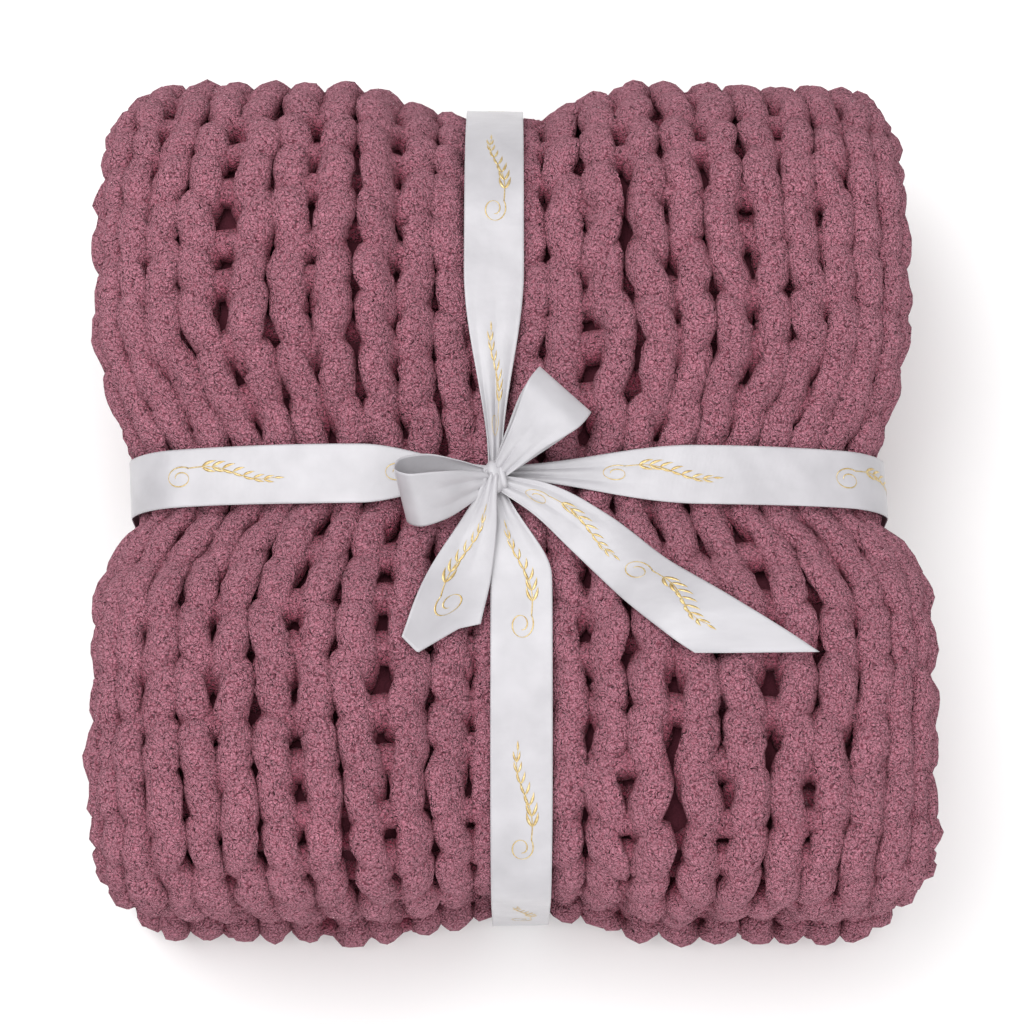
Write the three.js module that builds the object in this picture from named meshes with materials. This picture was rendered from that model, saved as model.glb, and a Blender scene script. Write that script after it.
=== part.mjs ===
import * as THREE from "three";

// A chunky chenille throw, folded into a square bundle and tied both ways with a satin ribbon and a bow.
// Millimetres, +Z up. The ropes of stitches run along Y. The wide fold lies at +Y and the free ends at
// -Y. The origin is at the middle of the footprint, on the surface that the bundle lies on.

// The even bundle, before the ribbon draws it in. A layer is the throw folded in three along its length.
const WIDTH = 412;
const DEPTH = 450;
const LAYER = 46;
const LAYER_GAP = 2;
const PITCH = LAYER + LAYER_GAP;
const HALF_LAYER = LAYER / 2;
const TOP = 4 * LAYER + 3 * LAYER_GAP;
const HALF_WIDTH = WIDTH / 2;
const HALF_DEPTH = DEPTH / 2;

// The rounded side of a layer, and where its flat stretch ends.
const SIDE_ROUND = 25;
const FLAT = HALF_WIDTH - SIDE_ROUND;

// Ropes of stitches, with a furrow between two and its shoulders at these shares of a rope.
const ROPES_ACROSS = 20;
const ROPES_ROUND = 4;
const FURROW = 4.5;
const SHOULDERS = [0.27, 0.73];

// The turns: a small one joins two layers that touch, and the wide one wraps round the whole stack.
const SMALL_TURN = PITCH / 2;
const WIDE_TURN_DEEP = 60;
const WIDE_TURN_HIGH = 1.5 * PITCH;
const NEAR_TURN_Y = 3 - HALF_DEPTH + HALF_LAYER + SMALL_TURN;
const WIDE_TURN_Y = HALF_DEPTH - HALF_LAYER - WIDE_TURN_DEEP;
const INNER_TURN_Y = WIDE_TURN_Y - 14;
const UPPER_END_Y = 8 - HALF_DEPTH;
const LOWER_END_Y = -HALF_DEPTH;

// The ribbon, and how it draws the bundle in: its groove is flat for its width and then rises.
const RIBBON_HALF = 15;
const RIBBON_THICK = 1.3;
const RIBBON_CLEAR = 0.9;
const LENGTH_X = -7.5;
const LENGTH_JOG = 13.5;
const JOG_RUN = 56;
const CROSS_Y = -6;
const BOW_Y = CROSS_Y - 4;
const GROOVE_FLAT = 18;
const GROOVE_END = 78;
const PRESS = 0.13;
const WAIST_SIDE = 17;
const WAIST_RUN = 52;
const WAIST_END = 11;
const UNDER_LIFT = 7;
const EDGE_HEIGHT = 0.92;
const CROWN = 0.11;
const CORNER_IN = 5;
const SWAY = 2.5;
const SWAY_LENGTH = 58;

// Where the lengthwise band passes over the crosswise one, and over what length each arm of a band
// gathers towards the knot.
const OVER_RISE = 1.8;
const OVER_HALF = 17;
const OVER_RUN = 16;
const GATHER_HALF = 3.5;
const GATHER_RUN = { left: 70, right: 92, near: 52, far: 90 };

// The knot, flat below. What is tied into it starts just off its side.
const KNOT_ACROSS = 7;
const KNOT_ALONG = 8.5;
const KNOT_HIGH = 6;
const KNOT_BASE = 4.5;
const KNOT_GAP = 0.45;

// How far each quarter swells beyond the even bundle: outward in mm, upward as a share of the height.
const QUARTERS = [
  { side: -1, end: -1, outward: 0, upward: 0.005 },
  { side: 1, end: -1, outward: 5, upward: 0 },
  { side: -1, end: 1, outward: 5, upward: 0.01 },
  { side: 1, end: 1, outward: -3, upward: -0.005 },
];

const CHENILLE_ROSE = { color: 0x8e5866, roughness: 0.95, metalness: 0 };
const SATIN_WHITE = { color: 0xe6e0e2, roughness: 0.4, metalness: 0 };

// Distances from a ribbon's middle where a surface that crosses its groove has points.
const GROOVE_STEPS = [GROOVE_FLAT, 33, 48, 63, GROOVE_END];
const OPEN_STEP = 130;
const LEAST_STEP = 4;

function smooth(value) {
  const t = Math.min(1, Math.max(0, value));
  return t * t * (3 - 2 * t);
}

function grip(distance) {
  return 1 - smooth((Math.abs(distance) - GROOVE_FLAT) / (GROOVE_END - GROOVE_FLAT));
}

function quarterValue(x, y, column) {
  let total = 0;
  for (const quarter of QUARTERS) {
    const beside = smooth(0.5 + (0.5 * quarter.side * x) / GROOVE_END);
    const ahead = smooth(0.5 + (0.5 * quarter.end * y) / GROOVE_END);
    total += beside * ahead * quarter[column];
  }
  return total;
}

// The sides swell out again close beside the crosswise ribbon.
function waist(distance) {
  const t = Math.min(1, Math.max(0, (Math.abs(distance) - GROOVE_FLAT) / WAIST_RUN));
  return (1 - t) ** 2;
}

// The near arm of the lengthwise ribbon lies further to the right than the far one.
function lengthwiseX(y) {
  return LENGTH_X + LENGTH_JOG * smooth((CROSS_Y - y) / JOG_RUN);
}

// Where a point of the even bundle lies once the ribbon is tied and the quarters have swollen.
function settle(x, y, z) {
  const lengthwise = grip(x - lengthwiseX(y));
  const crosswise = grip(y - CROSS_Y);
  const gripped = 1 - (1 - lengthwise) * (1 - crosswise);
  const across = x / HALF_WIDTH;
  const along = y / HALF_DEPTH;
  const dome = (1 - Math.min(1, across ** 4)) * (1 - Math.min(1, along ** 4));
  const height = EDGE_HEIGHT + (CROWN + quarterValue(x, y, "upward")) * dome - PRESS * gripped;
  const under = Math.max(0, 1 - Math.max(0, z) / LAYER);
  const widen = quarterValue(x, y, "outward") - WAIST_SIDE * waist(y - CROSS_Y) - CORNER_IN * along ** 6;
  const deepen = -WAIST_END * lengthwise - CORNER_IN * across ** 6;
  const sway = SWAY * Math.sin(y / SWAY_LENGTH + x / (2 * SWAY_LENGTH)) * (1 - across ** 2);
  return new THREE.Vector3(
    x + across * widen + sway * (1 - crosswise) * (1 - lengthwise),
    y + along * deepen,
    z * height + UNDER_LIFT * gripped * under,
  );
}

// A geometry with its faces turned outwards.
function facingOut(corners, faces) {
  const geometry = new THREE.BufferGeometry().setFromPoints(corners);
  let volume = 0;
  for (const [a, b, c] of faces) {
    volume += corners[a].dot(corners[b].clone().cross(corners[c]));
  }
  const indices = faces.flat();
  geometry.setIndex(volume > 0 ? indices : indices.toReversed());
  geometry.computeVertexNormals();
  return geometry;
}

// Faces between two closed rings whose points have rising keys from 0 to keyEnd. The rings may differ
// in their number of points: the one whose next key is lower steps first.
function facesBetween(first, second, keyEnd) {
  const faces = [];
  const nextKey = (ring, step) => (step + 1 < ring.length ? ring[step + 1].key : ring[0].key + keyEnd);
  let i = 0;
  let j = 0;
  while (i < first.length || j < second.length) {
    const a = first[i % first.length].index;
    const b = second[j % second.length].index;
    const firstSteps = j >= second.length || (i < first.length && nextKey(first, i) <= nextKey(second, j));
    if (firstSteps) {
      i += 1;
      faces.push([a, first[i % first.length].index, b]);
    } else {
      j += 1;
      faces.push([a, second[j % second.length].index, b]);
    }
  }
  return faces;
}

// Steps along a row of ropes: for each rope its furrow and then its two shoulders.
function ropeSteps(ropes) {
  const steps = [];
  for (let rope = 0; rope < ropes; rope += 1) {
    steps.push({ share: rope / ropes, furrow: true });
    for (const shoulder of SHOULDERS) {
      steps.push({ share: (rope + shoulder) / ropes, furrow: false });
    }
  }
  return steps;
}

// Steps across a plain face from -direction to +direction, close together beside the ribbon. All but
// the first slide across with the lengthwise ribbon.
function plainSteps(direction) {
  const offsets = [...GROOVE_STEPS, OPEN_STEP].flatMap((step) => [LENGTH_X - step, LENGTH_X + step]);
  const shares = offsets.map((x) => 0.5 + (direction * x) / (2 * FLAT));
  return [0, ...shares.sort((a, b) => a - b)].map((share) => ({ share, furrow: false, slides: share > 0 }));
}

// A layer's rounded side, as ropes with furrows that run in towards its middle.
function sidePoints(side, firstKey) {
  return ropeSteps(ROPES_ROUND).map(({ share, furrow }) => {
    const angle = side * Math.PI * (0.5 - share);
    const scale = furrow ? 1 - FURROW / HALF_LAYER : 1;
    return {
      key: firstKey + share,
      x: side * (FLAT + SIDE_ROUND * scale * Math.cos(angle)),
      height: HALF_LAYER * scale * Math.sin(angle),
    };
  });
}

// One layer's cross-section: outer face, right side, inner face and left side. Each point has its
// key round the section, its x, its height over the middle of the layer and any furrow cut into it.
function layerSection(ribbed) {
  const outer = ribbed ? ropeSteps(ROPES_ACROSS) : plainSteps(1);
  const outerFace = outer.map(({ share, furrow, slides }) => ({
    key: share,
    x: FLAT * (2 * share - 1),
    height: HALF_LAYER,
    furrow: furrow ? FURROW : 0,
    slides,
  }));
  const innerFace = plainSteps(-1).map(({ share, slides }) => ({
    key: 2 + share,
    x: FLAT * (1 - 2 * share),
    height: -HALF_LAYER,
    slides,
  }));
  return [...outerFace, ...sidePoints(1, 1), ...innerFace, ...sidePoints(-1, 3)];
}

const SECTION_KEYS = 4;
const RIGHT_TIP = 1.5;
const LEFT_TIP = 3.5;
const RIBBED_SECTION = layerSection(true);
const PLAIN_SECTION = layerSection(false);
const FADE_UNDER = 0.4;
const NOSE_IN = 0.05;

// The folded throw, from the free end inside the stack to the free end below. A level counts layers
// from the bottom one's middle. A turn rises or falls round y, deep towards +Y or -Y.
const WIDE_TURN = { deep: WIDE_TURN_DEEP, high: WIDE_TURN_HIGH, steps: 9 };
const STRETCHES = [
  { kind: "end", level: 1, y: UPPER_END_Y, leaving: true },
  { kind: "run", level: 1, from: UPPER_END_Y + HALF_LAYER, to: INNER_TURN_Y },
  { kind: "turn", level: 1.5, y: INNER_TURN_Y, deep: SMALL_TURN, high: -SMALL_TURN, steps: 6 },
  { kind: "run", level: 2, from: INNER_TURN_Y, to: NEAR_TURN_Y },
  { kind: "turn", level: 2.5, y: NEAR_TURN_Y, deep: -SMALL_TURN, high: -SMALL_TURN, steps: 8, ribbed: true },
  { kind: "run", level: 3, from: NEAR_TURN_Y, to: WIDE_TURN_Y, ribbed: true },
  { kind: "turn", level: 1.5, y: WIDE_TURN_Y, ...WIDE_TURN, ribbed: true },
  { kind: "run", level: 0, from: WIDE_TURN_Y, to: LOWER_END_Y + HALF_LAYER },
  { kind: "end", level: 0, y: LOWER_END_Y, leaving: false },
];
const END_ANGLES = [0.25, 0.6, 0.95, 1.25];

// Stations along a straight run, its two ends included, with one beside each edge of the groove.
function runStations({ level, from, to, ribbed }) {
  const steps = GROOVE_STEPS.flatMap((step) => [CROSS_Y - step, CROSS_Y + step]);
  const heading = Math.sign(to - from);
  const isInside = (y) => (y - from) * heading > LEAST_STEP && (to - y) * heading > LEAST_STEP;
  const inside = [...steps, CROSS_Y - OPEN_STEP].filter(isInside);
  const places = [from, ...inside.sort((a, b) => heading * (a - b)), to];
  const z = HALF_LAYER + level * PITCH;
  return places.map((y) => ({ y, z, normal: [0, heading], thin: 1, ribbed }));
}

// Stations round a turn, without its two ends. Its normal points out of the outer face.
function turnStations({ level, y, deep, high, steps, ribbed }) {
  const middle = HALF_LAYER + level * PITCH;
  const stations = [];
  for (let step = 1; step < steps; step += 1) {
    const angle = Math.PI * (0.5 - step / steps);
    const normal = new THREE.Vector2(Math.cos(angle) / deep, Math.sin(angle) / high).normalize();
    if (high * deep < 0 && deep > 0) {
      normal.negate();
    }
    stations.push({
      y: y + deep * Math.cos(angle),
      z: middle + high * Math.sin(angle),
      normal: [normal.x, normal.y],
      thin: 1,
      ribbed,
    });
  }
  return stations;
}

// Stations round a free end, where the layer thins to a round nose.
function endStations({ level, y, leaving }) {
  const z = HALF_LAYER + level * PITCH;
  const heading = leaving ? 1 : -1;
  const stations = END_ANGLES.map((angle) => ({
    y: y + HALF_LAYER * (1 - Math.sin(angle)),
    z,
    normal: [0, heading],
    thin: Math.cos(angle),
  }));
  return leaving ? stations.reverse() : stations;
}

// Closes a ring across, from its right tip to its left one, so that the cap follows a drawn-in waist.
function capFaces(ring) {
  const right = ring.findIndex(({ key }) => key === RIGHT_TIP);
  const left = ring.findIndex(({ key }) => key === LEFT_TIP);
  const below = ring.slice(right, left + 1);
  const above = [...ring.slice(left), ...ring.slice(0, right + 1)].reverse();
  const faces = [];
  let i = 0;
  let j = 0;
  while (i + 1 < above.length || j + 1 < below.length) {
    const [a, b] = [above[i].index, below[j].index];
    const aboveNext = above[i + 1]?.x ?? -Infinity;
    const belowNext = below[j + 1]?.x ?? -Infinity;
    if (aboveNext > belowNext || j + 1 >= below.length) {
      i += 1;
      faces.push([a, above[i].index, b]);
    } else {
      j += 1;
      faces.push([a, below[j].index, b]);
    }
  }
  return faces.filter((face) => new Set(face).size === face.length);
}

function makeBlanket() {
  const stationMakers = { run: runStations, turn: turnStations, end: endStations };
  const stations = STRETCHES.flatMap((stretch) => stationMakers[stretch.kind](stretch));
  const corners = [];
  const rings = stations.map(({ y, z, normal, thin, ribbed }) => {
    const section = ribbed ? RIBBED_SECTION : PLAIN_SECTION;
    const shown = smooth((normal[1] + 1) / FADE_UNDER);
    return section.map(({ key, x, height, furrow = 0, slides = false }) => {
      const rise = (height - furrow * shown) * thin;
      const inward = 1 - NOSE_IN * (1 - thin);
      const aside = slides ? lengthwiseX(y) - LENGTH_X : 0;
      corners.push(settle((x + aside) * inward, y + rise * normal[0], z + rise * normal[1]));
      return { key, x, index: corners.length - 1 };
    });
  });
  const faces = [];
  for (let row = 0; row + 1 < rings.length; row += 1) {
    faces.push(...facesBetween(rings[row], rings[row + 1], SECTION_KEYS));
  }
  faces.push(...capFaces(rings[0]));
  faces.push(...capFaces(rings.at(-1)).map(([a, b, c]) => [a, c, b]));
  return facingOut(corners, faces);
}

// A strip of ribbon as one body: each row has its points across the back face and then the front one.
function stripBody(rows, closed) {
  const corners = rows.flat();
  const count = rows[0].length;
  const rings = rows.map((row, index) => row.map((point, key) => ({ key, index: index * count + key })));
  const pairs = rings.slice(1).map((ring, index) => [rings[index], ring]);
  const faces = [];
  if (closed) {
    pairs.push([rings.at(-1), rings[0]]);
  }
  for (const [first, second] of pairs) {
    faces.push(...facesBetween(first, second, count));
  }
  for (let key = 0; !closed && key + 1 < count / 2; key += 1) {
    const quad = [key, key + 1, count - 2 - key, count - 1 - key];
    const [a, b, c, d] = quad.map((step) => rings[0][step].index);
    const [e, f, g, h] = quad.map((step) => rings.at(-1)[step].index);
    faces.push([a, c, b], [a, d, c], [e, f, g], [e, g, h]);
  }
  return facingOut(corners, faces);
}

// Shares across a strip, and a row of its points on both faces.
const ACROSS_STRIP = [-1, 0, 1];

function stripRow(pointAt) {
  const back = ACROSS_STRIP.map((v) => pointAt(v, 0));
  const front = ACROSS_STRIP.map((v) => pointAt(v, 1));
  return [...back, ...front.reverse()];
}

// A quarter turn of a band's path round a corner of the bundle, clockwise, from the given angle.
function cornerPath({ flat, up, deep, high, from, steps }) {
  const places = [];
  for (let step = 0; step <= steps; step += 1) {
    const angle = (from - (90 * step) / steps) * THREE.MathUtils.DEG2RAD;
    const out = new THREE.Vector2(Math.cos(angle) / deep, Math.sin(angle) / high).normalize();
    places.push({ flat: flat + deep * Math.cos(angle), up: up + high * Math.sin(angle), out });
  }
  return places;
}

// A closed band round the bundle: corners in clockwise order from the top right one, with points on
// the top and the underside at the given distances either side of the other band.
function bandPath(corners, crossing, steps) {
  const distances = steps.flatMap((step) => (step > 0 ? [-step, step] : [0]));
  const flats = distances.sort((a, b) => a - b).map((distance) => crossing + distance);
  const [topRight, lowRight, lowLeft, topLeft] = corners.map(cornerPath);
  const between = (from, to) => flats.filter((flat) => flat > from + LEAST_STEP && flat < to - LEAST_STEP);
  const under = between(lowLeft[0].flat, lowRight.at(-1).flat).reverse();
  const over = between(topLeft.at(-1).flat, topRight[0].flat);
  const lay = (places, up, sign) => places.map((flat) => ({ flat, up, out: new THREE.Vector2(0, sign) }));
  return [...topRight, ...lowRight, ...lay(under, 0, -1), ...lowLeft, ...topLeft, ...lay(over, TOP, 1)];
}

// A band gathers towards the knot on the top only.
function bandHalf(distance, up, [runBefore, runAfter]) {
  const run = distance < 0 ? runBefore : runAfter;
  const gathered = up < TOP ? 0 : 1 - smooth(Math.abs(distance) / run);
  return RIBBON_HALF + (GATHER_HALF - RIBBON_HALF) * gathered;
}

const CROSS_CORNERS = [
  { flat: FLAT, up: TOP - HALF_LAYER, deep: SIDE_ROUND, high: HALF_LAYER, from: 90, steps: 5 },
  { flat: FLAT, up: HALF_LAYER, deep: SIDE_ROUND, high: HALF_LAYER, from: 0, steps: 5 },
  { flat: -FLAT, up: HALF_LAYER, deep: SIDE_ROUND, high: HALF_LAYER, from: -90, steps: 5 },
  { flat: -FLAT, up: TOP - HALF_LAYER, deep: SIDE_ROUND, high: HALF_LAYER, from: 180, steps: 5 },
];
const WIDE_DEEP = WIDE_TURN_DEEP + HALF_LAYER;
const NEAR_ROUND = SMALL_TURN + HALF_LAYER;
const LENGTH_CORNERS = [
  { flat: WIDE_TURN_Y, up: TOP / 2, deep: WIDE_DEEP, high: TOP / 2, from: 90, steps: 9 },
  { flat: WIDE_TURN_Y, up: TOP / 2, deep: WIDE_DEEP, high: TOP / 2, from: 0, steps: 9 },
  { flat: LOWER_END_Y + HALF_LAYER, up: HALF_LAYER, deep: HALF_LAYER, high: HALF_LAYER, from: -90, steps: 5 },
  { flat: NEAR_TURN_Y, up: TOP - NEAR_ROUND, deep: NEAR_ROUND, high: NEAR_ROUND, from: 180, steps: 6 },
];
const CROSS_STEPS = [0, 9, GROOVE_FLAT, 25, 33, 40, 48, 55, 63, 70, GROOVE_END, 85, 105, 125, 142, 157, 170];
const LENGTH_STEPS = [0, ...GROOVE_STEPS, OPEN_STEP];

function makeCrosswiseBand() {
  const rows = bandPath(CROSS_CORNERS, LENGTH_X, CROSS_STEPS).map(({ flat, up, out }) => {
    const half = bandHalf(flat - LENGTH_X, up, [GATHER_RUN.left, GATHER_RUN.right]);
    return stripRow((v, front) => {
      const lift = RIBBON_CLEAR + RIBBON_THICK * front;
      return settle(flat + out.x * lift, CROSS_Y + half * v, up + out.y * lift);
    });
  });
  return stripBody(rows, true);
}

function makeLengthwiseBand() {
  const rows = bandPath(LENGTH_CORNERS, CROSS_Y, LENGTH_STEPS).map(({ flat, up, out }) => {
    const half = bandHalf(flat - CROSS_Y, up, [GATHER_RUN.near, GATHER_RUN.far]);
    const over = 1 - smooth((Math.abs(flat - CROSS_Y) - OVER_HALF) / OVER_RUN);
    return stripRow((v, front) => {
      const lift = RIBBON_CLEAR + OVER_RISE * over + RIBBON_THICK * front;
      return settle(lengthwiseX(flat) + half * v, flat + out.x * lift, up + out.y * lift);
    });
  });
  return stripBody(rows, true);
}

// The knot stands on the crossing bands.
const CROSSING_LIFT = RIBBON_CLEAR + OVER_RISE + RIBBON_THICK;
const KNOT = settle(LENGTH_X, BOW_Y, TOP + CROSSING_LIFT);
KNOT.z += KNOT_GAP + KNOT_BASE;

function makeKnot() {
  const geometry = new THREE.SphereGeometry(1, 16, 12);
  geometry.scale(KNOT_ACROSS, KNOT_ALONG, KNOT_HIGH);
  const places = geometry.attributes.position;
  for (let i = 0; i < places.count; i += 1) {
    places.setZ(i, Math.max(places.getZ(i), -KNOT_BASE));
  }
  return geometry.translate(KNOT.x, KNOT.y, KNOT.z);
}

// Bow loops, from the knot out along one strand and back along the other: distance out, height over
// the knot's middle, how far the strand lies from the loop's middle, and half the width. The heading
// is in degrees from +X, and the roll tips the ribbon's width up from level.
const LEFT_LOOP = {
  heading: 195,
  roll: 38,
  rows: [
    { out: 7.8, up: 1.5, apart: -2.2, half: 3.5 },
    { out: 18, up: 8, apart: -5, half: 9 },
    { out: 32, up: 12.5, apart: -8, half: 14 },
    { out: 44, up: 13.5, apart: -6, half: 15 },
    { out: 48, up: 13.5, apart: 0, half: 15 },
    { out: 43, up: 13, apart: 6, half: 15 },
    { out: 30, up: 11, apart: 8, half: 14 },
    { out: 17, up: 7, apart: 5, half: 9 },
    { out: 7.8, up: 1.5, apart: 2.2, half: 3.5 },
  ],
};
const RIGHT_LOOP = {
  heading: 52,
  roll: -12,
  rows: [
    { out: 8.6, up: 0, apart: -2, half: 3.5 },
    { out: 22, up: 5, apart: -5, half: 10 },
    { out: 40, up: 10, apart: -6.5, half: 16 },
    { out: 49, up: 12, apart: 0, half: 17 },
    { out: 42, up: 12, apart: 6.5, half: 17 },
    { out: 24, up: 8, apart: 6, half: 10 },
    { out: 8.6, up: 0, apart: 2.2, half: 3.5 },
  ],
};
const LOOP_STEPS = 24;

function makeLoop({ heading, roll, rows }) {
  const column = (values) => new THREE.CatmullRomCurve3(rows.map((row) => new THREE.Vector3(...values(row))));
  const route = column(({ out, up, apart }) => [out, up, apart]);
  const widths = column(({ half }) => [half, 0, 0]);
  const turn = heading * THREE.MathUtils.DEG2RAD;
  const tip = roll * THREE.MathUtils.DEG2RAD;
  const outward = new THREE.Vector3(Math.cos(turn), Math.sin(turn), 0);
  const sideways = new THREE.Vector3(-Math.sin(turn), Math.cos(turn), 0);
  const upward = new THREE.Vector3(0, 0, 1);
  const widthways = sideways.clone().multiplyScalar(Math.cos(tip)).addScaledVector(upward, -Math.sin(tip));
  const strandways = sideways.clone().multiplyScalar(Math.sin(tip)).addScaledVector(upward, Math.cos(tip));
  const body = [];
  for (let step = 0; step <= LOOP_STEPS; step += 1) {
    const place = route.getPoint(step / LOOP_STEPS);
    const along = route.getTangent(step / LOOP_STEPS);
    const half = widths.getPoint(step / LOOP_STEPS).x;
    const facing = new THREE.Vector2(along.z, -along.x).normalize().multiplyScalar(RIBBON_THICK);
    body.push(stripRow((v, front) => KNOT.clone()
      .addScaledVector(outward, place.x + facing.x * (front - 0.5))
      .addScaledVector(strandways, place.z + facing.y * (front - 0.5))
      .addScaledVector(upward, place.y)
      .addScaledVector(widthways, half * v)));
  }
  return stripBody(body, false);
}

// The two tails, over the even bundle: place from the knot, height over the top and half the width.
// The slant is how far the cut end leans along the tail on either side of its middle.
const LEFT_TAIL = {
  slant: -11,
  rows: [
    { x: -3, y: -9.4, lift: 10, half: 3.5 },
    { x: -7, y: -24, lift: 6, half: 8 },
    { x: -15, y: -50, lift: 4, half: 14 },
    { x: -27, y: -83, lift: 5, half: 15 },
  ],
};
const RIGHT_TAIL = {
  slant: 22,
  rows: [
    { x: 7.3, y: -4.5, lift: 10, half: 3.5 },
    { x: 27, y: -11, lift: 6, half: 8 },
    { x: 50, y: -28, lift: 4.2, half: 13 },
    { x: 75, y: -53, lift: 3.5, half: 15 },
    { x: 98, y: -71, lift: 4, half: 15 },
    { x: 124, y: -89, lift: 5, half: 15 },
  ],
};
const TAIL_STEPS = 22;

function makeTail({ slant, rows }) {
  const column = (values) => new THREE.CatmullRomCurve3(rows.map((row) => new THREE.Vector3(...values(row))));
  const route = column(({ x, y, lift }) => [LENGTH_X + x, BOW_Y + y, lift]);
  const widths = column(({ half }) => [half, 0, 0]);
  const body = [];
  for (let step = 0; step <= TAIL_STEPS; step += 1) {
    const share = step / TAIL_STEPS;
    const place = route.getPoint(share);
    const along = route.getTangent(share).setZ(0).normalize();
    const half = widths.getPoint(share).x;
    body.push(stripRow((v, front) => {
      const shift = slant * v * share ** 3;
      const x = place.x - along.y * half * v + along.x * shift;
      const y = place.y + along.x * half * v + along.y * shift;
      return settle(x, y, TOP + place.z + RIBBON_THICK * front);
    }));
  }
  return stripBody(body, false);
}

function addPiece(group, name, geometry, finish) {
  const mesh = new THREE.Mesh(geometry, new THREE.MeshStandardMaterial(finish));
  mesh.name = name;
  group.add(mesh);
}

const group = new THREE.Group();
addPiece(group, "blanket", makeBlanket(), CHENILLE_ROSE);
addPiece(group, "crosswise_band", makeCrosswiseBand(), SATIN_WHITE);
addPiece(group, "lengthwise_band", makeLengthwiseBand(), SATIN_WHITE);
addPiece(group, "bow_knot", makeKnot(), SATIN_WHITE);
addPiece(group, "bow_left_loop", makeLoop(LEFT_LOOP), SATIN_WHITE);
addPiece(group, "bow_right_loop", makeLoop(RIGHT_LOOP), SATIN_WHITE);
addPiece(group, "bow_left_tail", makeTail(LEFT_TAIL), SATIN_WHITE);
addPiece(group, "bow_right_tail", makeTail(RIGHT_TAIL), SATIN_WHITE);

export default group;
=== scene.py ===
import math

import bpy
import numpy as np
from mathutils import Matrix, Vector


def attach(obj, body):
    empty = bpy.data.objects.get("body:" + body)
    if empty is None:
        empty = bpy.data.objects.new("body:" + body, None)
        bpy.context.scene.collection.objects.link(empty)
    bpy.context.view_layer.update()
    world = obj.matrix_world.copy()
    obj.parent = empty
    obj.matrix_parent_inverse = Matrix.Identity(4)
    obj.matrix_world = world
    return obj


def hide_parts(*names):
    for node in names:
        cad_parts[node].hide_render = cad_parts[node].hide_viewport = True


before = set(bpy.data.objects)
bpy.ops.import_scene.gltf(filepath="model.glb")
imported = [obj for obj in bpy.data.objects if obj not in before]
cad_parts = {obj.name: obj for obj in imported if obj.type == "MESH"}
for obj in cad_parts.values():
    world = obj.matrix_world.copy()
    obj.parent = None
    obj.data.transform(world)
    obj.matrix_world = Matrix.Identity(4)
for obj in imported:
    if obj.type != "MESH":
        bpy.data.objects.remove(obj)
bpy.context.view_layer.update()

# ----------------------------------------------------------------------------
# The folded throw's inner cloth. A chenille throw knitted by hand in plain stitch, folded in three
# along its length and then in half twice, so that four thick layers lie on each other. This piece
# is the cloth just under the outer stitches: it closes the holes that the loops leave.
# ----------------------------------------------------------------------------

MM = 0.001

# The even bundle before the ribbon draws it in, in millimetres: four layers, each standing for the
# throw folded in three, with a round turn at each fold.
WIDTH, DEPTH = 412.0, 450.0
LAYER, LAYER_GAP = 46.0, 2.0
PITCH = LAYER + LAYER_GAP
HALF_LAYER = LAYER / 2
TOP = 4 * LAYER + 3 * LAYER_GAP
HALF_WIDTH, HALF_DEPTH = WIDTH / 2, DEPTH / 2
SIDE_ROUND = 25.0
FLAT = HALF_WIDTH - SIDE_ROUND
SIDE_ARC = math.pi * (SIDE_ROUND + HALF_LAYER) / 2
SMALL_TURN = PITCH / 2
WIDE_TURN = (60.0, 1.5 * PITCH)
NEAR_TURN_Y = 3 - HALF_DEPTH + HALF_LAYER + SMALL_TURN
WIDE_TURN_Y = HALF_DEPTH - HALF_LAYER - WIDE_TURN[0]
INNER_TURN_Y = WIDE_TURN_Y - 14
UPPER_END_Y = 8 - HALF_DEPTH
LOWER_END_Y = -HALF_DEPTH
UPPER_FLAT_Y, LOWER_FLAT_Y = UPPER_END_Y + HALF_LAYER, LOWER_END_Y + HALF_LAYER

# How the ribbon draws the bundle in, and how far each quarter swells.
LENGTH_X, LENGTH_JOG, JOG_RUN, CROSS_Y = -7.5, 13.5, 56.0, -6.0
GROOVE_FLAT, GROOVE_END = 18.0, 78.0
PRESS, UNDER_LIFT = 0.13, 7.0
WAIST_SIDE, WAIST_END = 17.0, 11.0
WAIST_RUNS = (52.0, 74.0)
EDGE_HEIGHT, CROWN, CORNER_IN = 0.92, 0.11, 5.0
SWAY, SWAY_LENGTH = 2.5, 58.0
QUARTERS = (
    dict(side=-1, end=-1, outward=0, upward=0.005),
    dict(side=1, end=-1, outward=5, upward=0),
    dict(side=-1, end=1, outward=5, upward=0.01),
    dict(side=1, end=1, outward=-3, upward=-0.005),
)


def smooth(value):
    """An eased step from 0 to 1 as the value goes from 0 to 1."""
    t = np.clip(value, 0, 1)
    return t * t * (3 - 2 * t)


def grip(distance):
    """How firmly a ribbon holds the cloth, from 1 under it to 0 where its groove ends."""
    return 1 - smooth((np.abs(distance) - GROOVE_FLAT) / (GROOVE_END - GROOVE_FLAT))


def quarter_value(x, y, column):
    """A column of QUARTERS, blended across the ribbons."""
    total = 0
    for quarter in QUARTERS:
        beside = smooth(0.5 + 0.5 * quarter["side"] * x / GROOVE_END)
        ahead = smooth(0.5 + 0.5 * quarter["end"] * y / GROOVE_END)
        total = total + beside * ahead * quarter[column]
    return total


def waist(distance):
    """How far the sides are drawn in, from 1 at the crosswise ribbon. They swell out again beside
    it, sooner on the near side."""
    run = np.where(distance < 0, *WAIST_RUNS)
    return (1 - np.clip((np.abs(distance) - GROOVE_FLAT) / run, 0, 1)) ** 2


def lengthwise_x(y):
    """The near arm of the lengthwise ribbon lies further to the right than the far one."""
    return LENGTH_X + LENGTH_JOG * smooth((CROSS_Y - y) / JOG_RUN)


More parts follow.
